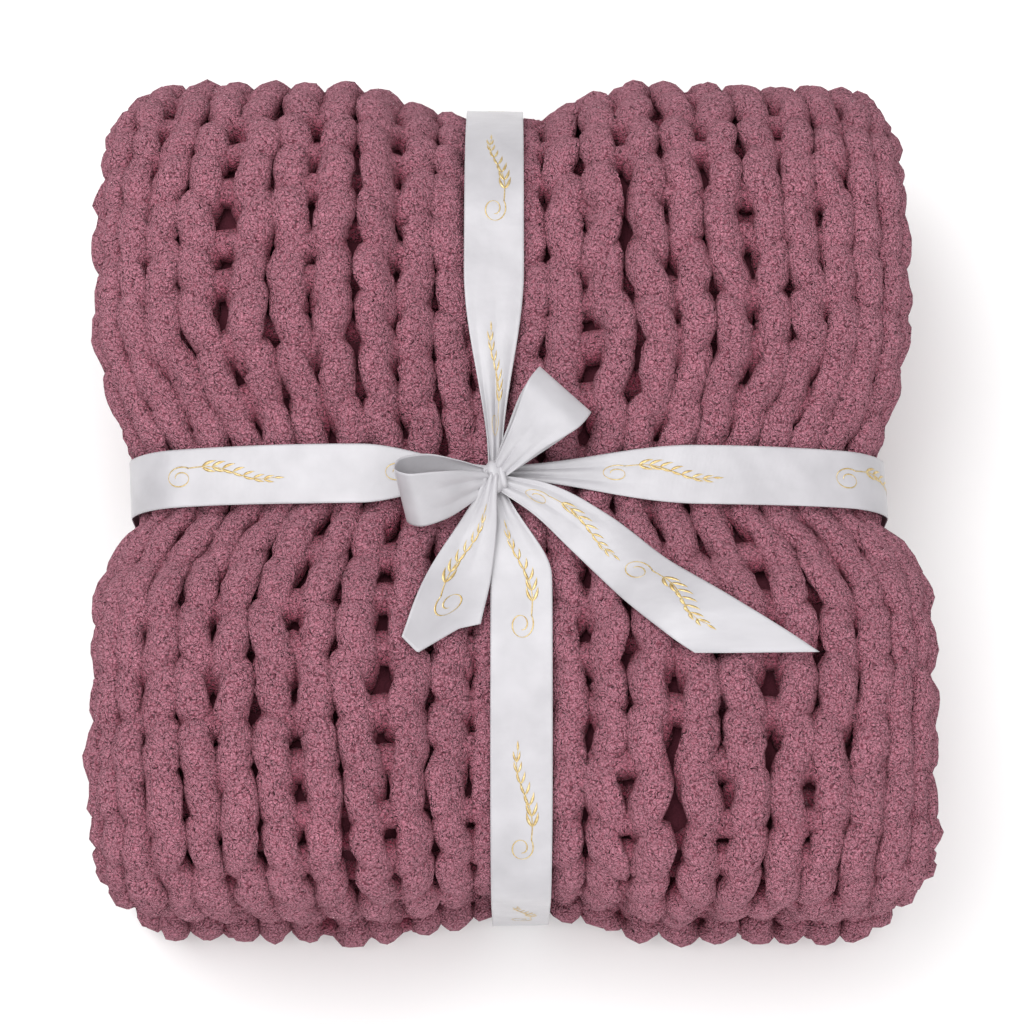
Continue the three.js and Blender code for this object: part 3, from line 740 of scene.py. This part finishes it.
# How far from the knot each band is gathered, on its two sides.
CROSSWISE_RUNS, LENGTHWISE_RUNS = (72, 108), (54, 112)
CROSSWISE_CORNERS = (
    dict(flat=-FLAT, up=HALF_LAYER, deep=SIDE_ROUND, high=HALF_LAYER, start=-90),
    dict(flat=-FLAT, up=TOP - HALF_LAYER, deep=SIDE_ROUND, high=HALF_LAYER, start=180),
    dict(flat=FLAT, up=TOP - HALF_LAYER, deep=SIDE_ROUND, high=HALF_LAYER, start=90),
    dict(flat=FLAT, up=HALF_LAYER, deep=SIDE_ROUND, high=HALF_LAYER, start=0),
)
WIDE_DEEP, NEAR_ROUND = WIDE_TURN[0] + HALF_LAYER, SMALL_TURN + HALF_LAYER
LENGTHWISE_CORNERS = (
    dict(flat=LOWER_FLAT_Y, up=HALF_LAYER, deep=HALF_LAYER, high=HALF_LAYER, start=-90),
    dict(flat=NEAR_TURN_Y, up=TOP - NEAR_ROUND, deep=NEAR_ROUND, high=NEAR_ROUND, start=180),
    dict(flat=WIDE_TURN_Y, up=TOP / 2, deep=WIDE_DEEP, high=TOP / 2, start=90),
    dict(flat=WIDE_TURN_Y, up=TOP / 2, deep=WIDE_DEEP, high=TOP / 2, start=0),
)


def crosswise_place(flat, aside, up):
    return settle(flat + 0 * aside, CROSS_Y + aside + 0 * flat, up + 0 * aside)


def lengthwise_place(flat, aside, up):
    return settle(lengthwise_x(flat) + aside, flat + 0 * aside, up + 0 * aside)


crosswise_rows = band_rows(CROSSWISE_CORNERS, LENGTH_X, CROSSWISE_RUNS, 0.2, crosswise_place, 0)
lengthwise_rows = band_rows(
    LENGTHWISE_CORNERS, CROSS_Y, LENGTHWISE_RUNS, 0.6, lengthwise_place, OVER_RISE
)
crosswise_ribbon, crosswise_cut = ribbon_mesh(
    "crosswise_ribbon", crosswise_rows, "crosswise_band", closed=True
)
lengthwise_ribbon, lengthwise_cut = ribbon_mesh(
    "lengthwise_ribbon", lengthwise_rows, "lengthwise_band", closed=True
)

# ----------------------------------------------------------------------------
# The bow. The same satin ribbon, tied over the crossing of the bands: a small tight knot, two
# loops, one standing half on its edge and one lying flat, and two free tails cut on the slant.
# ----------------------------------------------------------------------------

BOW_Y = CROSS_Y - 4
PLEAT_EASE = 0.7
# The knot's half sizes, how far its base lies below its middle, and its gap to the band below.
KNOT_ACROSS, KNOT_ALONG, KNOT_HIGH, KNOT_BASE, KNOT_GAP = 5.4, 8.4, 4.8, 4.5, 0.45
KNOT_STAND = RIBBON_CLEAR + OVER_RISE + KNOT_GAP + KNOT_BASE
KNOT = settle(np.array(LENGTH_X), np.array(BOW_Y), np.array(TOP)) + [0, 0, KNOT_STAND]


def curve_through(table, count):
    """Values of a table's columns on a smooth curve through its rows."""
    rows = np.array(table, dtype=float)
    at = np.concatenate([[0], np.cumsum(np.linalg.norm(np.diff(rows[:, :3], axis=0), axis=1))])
    slope = np.gradient(rows, at, axis=0)
    wanted = np.linspace(0, at[-1], count)
    low = np.clip(np.searchsorted(at, wanted, side="right") - 1, 0, len(at) - 2)
    gap = (at[low + 1] - at[low])[:, None]
    t = (wanted - at[low])[:, None] / gap
    return (
        (2 * t**3 - 3 * t**2 + 1) * rows[low]
        + (t**3 - 2 * t**2 + t) * gap * slope[low]
        + (3 * t**2 - 2 * t**3) * rows[low + 1]
        + (t**3 - t**2) * gap * slope[low + 1]
    )


# Each loop from the knot out along one strand and back along the other, in rows of: distance out,
# height over the knot's middle, distance of the strand from the loop's middle, and half the width.
LEFT_LOOP = dict(
    heading=195,
    roll=45,
    rows=(
        (3.0, 1.0, -2.2, 4),
        (16, 7, -5.5, 9.5),
        (32, 12, -9.5, 14),
        (44, 13, -7.5, 15.5),
        (47.5, 13, 0, 15.5),
        (43, 12.5, 7, 15.5),
        (30, 10.5, 8.5, 14),
        (15, 6, 5, 9.5),
        (3.0, 1.0, 2.2, 4),
    ),
)
RIGHT_LOOP = dict(
    heading=50,
    roll=-12,
    rows=(
        (3.5, 0, -2, 4),
        (22, 5, -5, 10),
        (42, 10, -6.5, 16),
        (54, 12, 0, 17),
        (44, 12, 6.5, 17),
        (24, 8, 6, 10),
        (3.5, 0, 2.2, 4),
    ),
)
LOOP_ROWS = 72


def bow_pleats(v, half, phase):
    """Height of the pleats across the bow's ribbon, which are deeper the narrower it is drawn."""
    gathered = np.clip(1 - (half - GATHER_HALF) / (RIBBON_HALF - GATHER_HALF), 0, 1)
    return pleated(v, gathered**PLEAT_EASE, phase)


def loop_rows(heading, roll, rows, phase):
    """Rows of points of a loop, which leaves the knot at a heading and rolls over on its side."""
    values = curve_through(rows, LOOP_ROWS)
    turn, tip = math.radians(heading), math.radians(roll)
    outward = np.array([math.cos(turn), math.sin(turn), 0])
    sideways = np.array([-math.sin(turn), math.cos(turn), 0])
    upward = np.array([0, 0, 1.0])
    widthways = sideways * math.cos(tip) - upward * math.sin(tip)
    strandways = sideways * math.sin(tip) + upward * math.cos(tip)
    v = np.linspace(-1, 1, RIBBON_COLUMNS)[None, :]
    out, up, apart, half = (column[:, None] for column in values.T)
    line = np.stack([values[:, 0], values[:, 2]], axis=1)
    tangent = np.gradient(line, axis=0)
    tangent /= np.linalg.norm(tangent, axis=1, keepdims=True)
    fold = bow_pleats(v, half, phase)
    return (
        KNOT
        + (out + fold * tangent[:, 1:])[..., None] * outward
        + (apart - fold * tangent[:, :1])[..., None] * strandways
        + up[..., None] * upward
        + (half * v)[..., None] * widthways
    )


left_loop_surface = loop_rows(**LEFT_LOOP, phase=0.1)
right_loop_surface = loop_rows(**RIGHT_LOOP, phase=0.5)
left_loop, left_loop_cut = ribbon_mesh("bow_left_loop_ribbon", left_loop_surface, "bow_left_loop")
right_loop, right_loop_cut = ribbon_mesh(
    "bow_right_loop_ribbon", right_loop_surface, "bow_right_loop"
)

# The tails over the even bundle, in rows of: x and y from the knot, height over the top, and half
# the width. The cut is how far the end reaches along the tail, at shares across it.
LEFT_TAIL = dict(
    cut=((-1, 2), (-0.45, 8), (0.45, -9), (1, -14)),
    rows=(
        (-1.0, 4.5, 9, 3.4),
        (-1.8, -0.5, 14, 3.6),
        (-3.2, -7, 13.2, 4.4),
        (-7.5, -23, 7, 9),
        (-15.5, -48, 4, 14.5),
        (-26, -86, 5, 16.8),
    ),
)
RIGHT_TAIL = dict(
    cut=((-1, -22), (-0.5, -10), (1, 25)),
    rows=(
        (3.0, -3.0, 8.5, 4),
        (26, -12, 6.5, 9.5),
        (50, -29, 4.2, 14.5),
        (75, -54, 3.5, 15.5),
        (98, -72, 4, 16.3),
        (124, -90, 5, 16.8),
    ),
)
TAIL_ROWS = 64
TAIL_WAVE, TAIL_WAVES = 0.9, 5.5


def tail_rows(cut, rows, phase):
    """Rows of points of a tail over the even bundle, settled as the bundle is."""
    values = curve_through(rows, TAIL_ROWS)
    heading = np.gradient(values[:, :2], axis=0)
    heading /= np.linalg.norm(heading, axis=1, keepdims=True)
    x, y, lift, half = (column[:, None] for column in values.T)
    ahead_x, ahead_y = heading[:, :1], heading[:, 1:]
    v = np.linspace(-1, 1, RIBBON_COLUMNS)[None, :]
    at_end = np.interp(v, [share for share, reach in cut], [reach for share, reach in cut])
    share = np.linspace(0, 1, TAIL_ROWS)[:, None]
    shift = at_end * share**3
    wave = TAIL_WAVE * v**2 * np.sin(TAIL_WAVES * share + 3 * phase + np.sign(v))
    return settle(
        LENGTH_X + x - ahead_y * half * v + ahead_x * shift,
        BOW_Y + y + ahead_x * half * v + ahead_y * shift,
        TOP + lift + bow_pleats(v, half, phase) + wave * share,
    )


left_tail_surface = tail_rows(**LEFT_TAIL, phase=0.3)
right_tail_surface = tail_rows(**RIGHT_TAIL, phase=0.8)
left_tail, left_tail_cut = ribbon_mesh("bow_left_tail_ribbon", left_tail_surface, "bow_left_tail")
right_tail, right_tail_cut = ribbon_mesh(
    "bow_right_tail_ribbon", right_tail_surface, "bow_right_tail"
)


KNOT_LEAN = math.radians(16)
KNOT_RINGS, KNOT_SIDES = 48, 40
# Its rings start a little beside its axis. Its folds, and how blunt its ends and its section are.
KNOT_POLE, KNOT_FLOOR = 0.03, 0.3
KNOT_FOLDS, KNOT_FOLD_SKEW, KNOT_FOLD_DEEP = 2.6, 0.35, 0.16
KNOT_END, KNOT_SECTION = 0.4, 0.8


def blunt(wave):
    """A sine or cosine with its peaks made broader."""
    return np.sign(wave) * np.abs(wave) ** KNOT_SECTION


def knot_points():
    """A flat tight wrap of ribbon over the crossing, leaning a little, its folds running over the
    top from the far side to the near side."""
    polar = np.linspace(KNOT_POLE, math.pi - KNOT_POLE, KNOT_RINGS)[:, None]
    around = np.linspace(0, 2 * math.pi, KNOT_SIDES, endpoint=False)[None, :]
    fold = np.abs(np.sin(KNOT_FOLDS * polar + 0.5 + KNOT_FOLD_SKEW * np.cos(around)))
    full = np.sin(polar) ** KNOT_END * (1 - KNOT_FOLD_DEEP + KNOT_FOLD_DEEP * fold)
    across = KNOT_ACROSS * np.cos(polar) + 0 * around
    along = KNOT_ALONG * full * blunt(np.cos(around))
    z = KNOT_HIGH * full * blunt(np.sin(around))
    x = across * math.cos(KNOT_LEAN) - along * math.sin(KNOT_LEAN)
    y = across * math.sin(KNOT_LEAN) + along * math.cos(KNOT_LEAN)
    return KNOT + np.stack([x, y, np.maximum(z, -KNOT_BASE + KNOT_FLOOR)], axis=-1)


knot_quads = grid_faces(KNOT_RINGS, KNOT_SIDES, close_columns=True)
first = np.arange(KNOT_SIDES // 2 - 1)
last = (KNOT_RINGS - 1) * KNOT_SIDES
cap = np.stack([first, first + 1, KNOT_SIDES - 2 - first, KNOT_SIDES - 1 - first], axis=1)
knot_quads = np.concatenate([knot_quads, cap[:, ::-1], cap + last])
knot_wrap = add_mesh("bow_knot_wrap", knot_points().reshape(-1, 3) * MM, knot_quads, SATIN)
knot_wrap.data.uv_layers.new(name="ribbon")
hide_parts("bow_knot")

# ----------------------------------------------------------------------------
# The gold sprigs on the ribbon. A foil print repeats along it: a thin curl and then a stem with
# small pointed leaves in pairs. The foil is pressed on hot and lies flat on the satin.
# ----------------------------------------------------------------------------

SPRIG_LONG, SPRIG_REPEAT = 56.0, 114.0
FOIL_LIFT, FOIL_THICK = RIBBON_CLOTH / 2 + 0.06, 0.05
FOIL_RAMP = ((0.3, "B8985A"), (0.7, "D9C795"))
# The curl: its width, turns, the share of its width it starts with, and how flat it is.
CURL_WIDE, CURL_TURNS, CURL_CORE, CURL_FLAT, CURL_POINTS = 7.6, 1.35, 0.35, 0.8, 46
STEM_HALF, STEM_SWAY, STEM_WAVES, STEM_POINTS = 0.26, 2.4, 5.5, 40
# The leaves, the first of them FIRST_LEAF of the way up the stem. They are smaller and closer to
# the stem towards its tip.
LEAF_LONG, LEAF_HALF, LEAF_TIP, LEAF_POINTS = 8.0, 0.75, 0.05, 9
LEAF_PAIRS, FIRST_LEAF = 7, 0.16


def gold_foil():
    material, tree = new_material("Gold foil, hot stamped")
    place = add_node(tree, "ShaderNodeTexCoord").outputs["Object"]
    rub = add_node(tree, "ShaderNodeTexNoise", {"Vector": place}, Scale=600, Detail=2)
    shader = add_node(
        tree,
        "ShaderNodeBsdfPrincipled",
        {"Base Color": colour_ramp(tree, rub.outputs["Fac"], FOIL_RAMP)},
        Metallic=0.55,
        Roughness=0.38,
    )
    finish_material(tree, shader)
    return material


def strip_outline(line, half):
    """Points to the left and right of a line, given the line and its half width at each point."""
    heading = np.gradient(line, axis=0)
    heading /= np.linalg.norm(heading, axis=1, keepdims=True)
    aside = np.stack([-heading[:, 1], heading[:, 0]], axis=1) * np.asarray(half)[:, None]
    return np.stack([line + aside, line - aside], axis=1)


def sprig_strips():
    """Flat strips of one sprig, each as pairs of points along and across the ribbon."""
    turn = np.linspace(0, 2 * math.pi * CURL_TURNS, CURL_POINTS)
    width = CURL_WIDE * (CURL_CORE + (1 - CURL_CORE) * turn / turn[-1])
    curl = np.stack([-width * np.cos(turn) + CURL_WIDE, width * CURL_FLAT * np.sin(turn)], axis=1)
    run = np.linspace(0, 1, STEM_POINTS)
    start_along, start_across = curl[-1]
    stem_along = start_along + (SPRIG_LONG - start_along) * run
    stem_across = start_across * (1 - run) ** 2 + STEM_SWAY * np.sin(STEM_WAVES * run)
    stem = np.stack([stem_along, stem_across], axis=1)
    strips = [
        strip_outline(curl, STEM_HALF * (0.5 + 0.8 * np.abs(np.sin(turn)))),
        strip_outline(stem, STEM_HALF * (1.2 - 0.7 * run)),
    ]
    along_leaf = np.linspace(0, 1, LEAF_POINTS)
    for pair in range(LEAF_PAIRS + 1):
        at = FIRST_LEAF + (1 - FIRST_LEAF) * pair / LEAF_PAIRS
        foot = np.array([np.interp(at, run, stem[:, i]) for i in range(2)])
        size = 1.05 - 0.4 * at
        for side in (-1, 1) if pair < LEAF_PAIRS else (0,):
            angle = side * (0.75 - 0.2 * at)
            bend = angle * (1 - 0.5 * along_leaf)
            reach = LEAF_LONG * size * along_leaf
            leaf = foot + np.stack([reach * np.cos(bend), reach * np.sin(bend)], axis=1)
            half = LEAF_HALF * size * np.sin(math.pi * along_leaf**0.8) + LEAF_TIP
            strips.append(strip_outline(leaf, half))
    return strips


SPRIG = sprig_strips()


def on_ribbon(rows, along, across, lift):
    """Places on a ribbon's upper face, from lengths along it and across it."""
    length = run_length(rows)
    normal = np.cross(np.gradient(rows, axis=1), np.gradient(rows, axis=0))
    normal /= np.linalg.norm(normal, axis=-1, keepdims=True)
    row = np.clip(np.interp(along, length, np.arange(len(length))), 0, len(length) - 1.001)
    column = np.clip((across / RIBBON_HALF + 1) / 2, 0, 0.999) * (rows.shape[1] - 1)
    i, j = row.astype(int), column.astype(int)
    a, b = (row - i)[..., None], (column - j)[..., None]

    def between(grid):
        near = grid[i, j] * (1 - b) + grid[i, j + 1] * b
        return near * (1 - a) + (grid[i + 1, j] * (1 - b) + grid[i + 1, j + 1] * b) * a

    return between(rows) + between(normal) * lift


def print_sprigs(name, rows, starts, face, flip=1):
    """Foil sprigs on a ribbon from each start along it. face is the side that carries them."""
    points, quads, count = [], [], 0
    for start in starts:
        for strip in SPRIG:
            along = start + (strip[..., 0] if flip > 0 else SPRIG_LONG - strip[..., 0])
            across = strip[..., 1] * flip
            lower = on_ribbon(rows, along, across, face * FOIL_LIFT)
            upper = on_ribbon(rows, along, across, face * (FOIL_LIFT + FOIL_THICK))
            ring = np.concatenate([lower, upper[:, ::-1]], axis=1)
            quads.append(grid_faces(len(ring), 4, close_columns=True) + count)
            ends = np.array([[0, 1, 2, 3], [3, 2, 1, 0]]) + [[count], [count + 4 * (len(ring) - 1)]]
            quads.append(ends)
            points.append(ring.reshape(-1, 3))
            count += 4 * len(ring)
    piece = add_mesh(name, np.concatenate(points) * MM, np.concatenate(quads), GOLD)
    return piece


GOLD = gold_foil()
# Where the sprigs start: x on top of the crosswise band, y on top of the lengthwise one, and how
# far along each tail.
CROSSWISE_TOP, LENGTHWISE_TOP = (-172, -62, 46, 163), (-196, -90, 12, 124)
LEFT_TAIL_STARTS, RIGHT_TAIL_STARTS = (26,), (12, 76)


def sprig_starts(rows, axis, places):
    """Lengths along a band where its sprigs start: those on top, and more round the rest of it."""
    length, middle = run_length(rows), rows[:, rows.shape[1] // 2]
    on_top = np.where(middle[:, 2] > TOP / 2)[0]
    tops = [length[on_top[np.argmin(np.abs(middle[on_top, axis] - place))]] for place in places]
    after = np.arange(max(tops) + SPRIG_REPEAT, length[-1] - SPRIG_LONG, SPRIG_REPEAT)
    return [*np.arange(min(tops) - SPRIG_REPEAT, 0, -SPRIG_REPEAT), *tops, *after]


crosswise_starts = sprig_starts(crosswise_rows, 0, CROSSWISE_TOP)
lengthwise_starts = sprig_starts(lengthwise_rows, 1, LENGTHWISE_TOP)
print_sprigs("crosswise_ribbon_sprigs", crosswise_rows, crosswise_starts, -1)
print_sprigs("lengthwise_ribbon_sprigs", lengthwise_rows, lengthwise_starts, 1)
print_sprigs("bow_left_tail_sprigs", left_tail_surface, LEFT_TAIL_STARTS, -1, flip=-1)
print_sprigs("bow_right_tail_sprigs", right_tail_surface, RIGHT_TAIL_STARTS, -1)

# ----------------------------------------------------------------------------
# Floor, light and camera: a plain pale floor, soft studio light, and a long lens almost overhead.
# ----------------------------------------------------------------------------


def floor_paper():
    material, tree = new_material("Matt white paper")
    shader = add_node(tree, "ShaderNodeBsdfPrincipled", Base_Color=colour("F4F3F3"), Roughness=0.9)
    finish_material(tree, shader)
    return material


FLOOR_HALF = 6.0
floor_mesh = bpy.data.meshes.new("floor")
corners = [(x * FLOOR_HALF, y * FLOOR_HALF, 0) for x, y in ((-1, -1), (1, -1), (1, 1), (-1, 1))]
floor_mesh.from_pydata(corners, [], [(0, 1, 2, 3)])
floor_mesh.materials.append(floor_paper())
floor = bpy.data.objects.new("floor", floor_mesh)
bpy.context.scene.collection.objects.link(floor)

LIGHTS = (
    dict(name="key", place=(-0.6, 0.45, 1.7), size=1.6, watts=28),
    dict(name="fill", place=(0.9, -0.7, 1.5), size=1.8, watts=12),
    dict(name="near", place=(0.0, -1.7, 0.9), size=1.4, watts=12),
    dict(name="over", place=(0.0, 0.1, 2.4), size=2.4, watts=14),
)
LIGHT_AIM = Vector((0, 0, 0.12))
WORLD_STRENGTH = 0.45
for light in LIGHTS:
    lamp = bpy.data.lights.new(light["name"], "AREA")
    lamp.size, lamp.energy = light["size"], light["watts"]
    holder = bpy.data.objects.new(light["name"], lamp)
    holder.location = light["place"]
    aim = LIGHT_AIM - Vector(light["place"])
    holder.rotation_euler = aim.to_track_quat("-Z", "Y").to_euler()
    bpy.context.scene.collection.objects.link(holder)

world = bpy.data.worlds.new("studio")
world.use_nodes = True
background = world.node_tree.nodes["Background"]
background.inputs["Color"].default_value = (1, 1, 1, 1)
background.inputs["Strength"].default_value = WORLD_STRENGTH
bpy.context.scene.world = world
bpy.context.scene.view_settings.view_transform = "Standard"

# The camera looks at the bundle's middle from the side of the free ends.
LOOK_AT = Vector((0.0015, -0.0205, 0.150))
CAMERA_ELEVATION = math.radians(77)
CAMERA_AWAY = 1.50
LENS, SENSOR = 105.0, 36.0
camera = bpy.data.objects.new("camera", bpy.data.cameras.new("camera"))
back = Vector((0, -math.cos(CAMERA_ELEVATION), math.sin(CAMERA_ELEVATION)))
camera.location = LOOK_AT + back * CAMERA_AWAY
camera.rotation_mode = "QUATERNION"
camera.rotation_quaternion = (-back).to_track_quat("-Z", "Y")
camera.data.lens, camera.data.sensor_width = LENS, SENSOR
camera.data.clip_start, camera.data.clip_end = 0.05, 20
bpy.context.scene.collection.objects.link(camera)
bpy.context.scene.camera = camera
